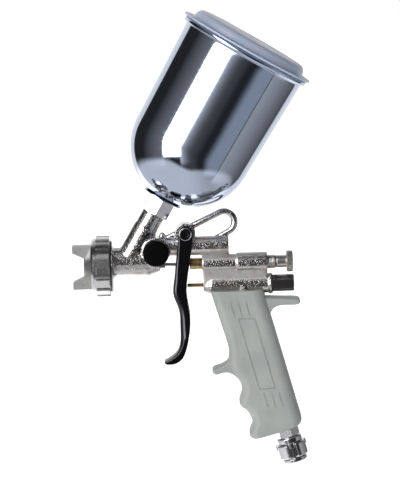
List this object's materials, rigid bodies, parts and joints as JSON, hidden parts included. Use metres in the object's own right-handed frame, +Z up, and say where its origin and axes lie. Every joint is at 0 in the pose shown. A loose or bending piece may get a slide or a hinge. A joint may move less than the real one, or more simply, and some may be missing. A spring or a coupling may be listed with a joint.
{
  "type": "hvlp spray gun",
  "caption": "Hand-held paint spray gun with a tilted gravity cup on top, trigger, fan and fluid adjusters, moulded grip, hanging hook and a bayonet air inlet at its base.",
  "frame": {"origin": "centre of the air inlet's mouth, at the bottom of the coupler", "axes": "-X along the needle, out of the nozzle; +Z up with the needle axis level; +Y to the side away from the fan knob"},
  "size_m": [0.173, 0.101, 0.329],
  "materials": {
    "plated_casting": "nickel-plated die casting, coarse bright grain",
    "grip_nylon": "moulded grey nylon, fine grain",
    "dark_plastic": "black plastic",
    "steel": "ground stainless steel",
    "satin_steel": "turned steel, satin",
    "spring_steel": "drawn spring wire",
    "brass": "turned brass",
    "packing_plastic": "white packing plastic",
    "plated_turned": "nickel-plated, turned",
    "black_chrome": "black chrome, gloss",
    "black_plastic": "black moulded plastic",
    "seal_rubber": "black rubber",
    "satin_aluminium": "satin machined aluminium",
    "satin_nickel": "satin nickel plate",
    "polished_aluminium": "polished",
    "lid_plastic": "blue-grey moulded plastic, satin"
  },
  "bodies": {
    "gun": {"gun_body": "plated_casting", "grip": "grip_nylon", "head_washer": "dark_plastic", "fluid_nozzle": "steel", "air_diffuser": "brass", "needle_packing": "packing_plastic", "packing_gland_nut": "plated_turned", "needle_spring": "spring_steel", "valve_guide": "brass", "valve_seat": "packing_plastic", "valve_spring": "spring_steel", "valve_cap": "black_chrome", "valve_cap_gasket": "seal_rubber", "fan_valve_bush": "plated_turned", "trigger_pin": "black_chrome", "trigger_pin_washers": "plated_turned", "trigger_pin_nut": "plated_turned", "air_passage_plug": "plated_turned", "inlet_nipple": "plated_turned", "coupler_body": "plated_turned", "coupler_seal": "seal_rubber"},
    "air_cap": {"air_cap": "satin_aluminium"},
    "cap_ring": {"air_cap_ring": "satin_nickel"},
    "trigger": {"trigger": "black_chrome"},
    "needle": {"fluid_needle": "steel", "needle_collar": "brass"},
    "air_valve": {"valve_stem": "brass", "valve_poppet": "brass"},
    "adjuster_seat": {"spring_seat": "steel"},
    "fluid_adjuster": {"fluid_knob": "satin_steel"},
    "fan_control": {"fan_spindle": "brass", "fan_knob": "black_plastic"},
    "cup": {"cup_shell": "polished_aluminium", "cup_nut": "plated_turned", "cup_washer": "polished_aluminium", "cup_lock_nut": "plated_turned"},
    "lid": {"cup_lid": "lid_plastic"},
    "bayonet_sleeve": {"coupler_sleeve": "plated_turned"}
  },
  "joints": [
    {"name": "trigger_pull", "type": "hinge", "parent": "gun", "child": "trigger", "pos_m": [-0.075, 0, 0.1686], "axis": [0, -1, 0], "range_deg": [0, 14], "stiffness_Nm_per_rad": 0.5, "springref_deg": -5.73},
    {"name": "needle_slide", "type": "slide", "parent": "gun", "child": "needle", "axis": [1, 0, 0], "range_m": [0, 0.0056], "stiffness_N_per_m": 300, "springref_m": -0.003, "deforming": ["needle_spring"]},
    {"name": "valve_slide", "type": "slide", "parent": "gun", "child": "air_valve", "axis": [1, 0, 0], "range_m": [0, 0.0094], "stiffness_N_per_m": 300, "springref_m": -0.003, "deforming": ["valve_spring"]},
    {"name": "adjuster_travel", "type": "slide", "parent": "gun", "child": "adjuster_seat", "axis": [1, 0, 0], "range_m": [-0.0031, 0.0021], "deforming": ["needle_spring"]},
    {"name": "fluid_adjuster_turn", "type": "hinge", "parent": "adjuster_seat", "child": "fluid_adjuster", "pos_m": [-0.0032, 0, 0.1458], "axis": [1, 0, 0], "range_deg": [-1080, 720]},
    {"name": "fan_control_turn", "type": "hinge", "parent": "gun", "child": "fan_control", "pos_m": [-0.0963, -0.012, 0.1563], "axis": [0, -1, 0], "range_deg": [0, 540]},
    {"name": "air_cap_turn", "type": "hinge", "parent": "gun", "child": "air_cap", "pos_m": [-0.1414, 0, 0.1458], "axis": [1, 0, 0], "continuous": true},
    {"name": "cap_ring_turn", "type": "hinge", "parent": "gun", "child": "cap_ring", "pos_m": [-0.1354, 0, 0.1458], "axis": [1, 0, 0], "range_deg": [0, 360]},
    {"name": "cup_turn", "type": "hinge", "parent": "gun", "child": "cup", "pos_m": [-0.0902, 0, 0.1944], "axis": [0.515, 0, 0.8572], "range_deg": [0, 360]},
    {"name": "lid_lift", "type": "slide", "parent": "cup", "child": "lid", "axis": [0.515, 0, 0.8572], "range_m": [0, 0.03]},
    {"name": "bayonet_turn", "type": "hinge", "parent": "gun", "child": "bayonet_sleeve", "pos_m": [0, 0, 0], "axis": [0.2588, 0, -0.9659], "range_deg": [0, 60]}
  ],
  "couplings": [
    {"joint": "needle_slide", "follows": "trigger_pull", "m_per_rad": 0.0228},
    {"joint": "valve_slide", "follows": "trigger_pull", "m_per_rad": 0.0384},
    {"joint": "adjuster_travel", "follows": "fluid_adjuster_turn", "m_per_rad": 0.00015915}
  ]
}
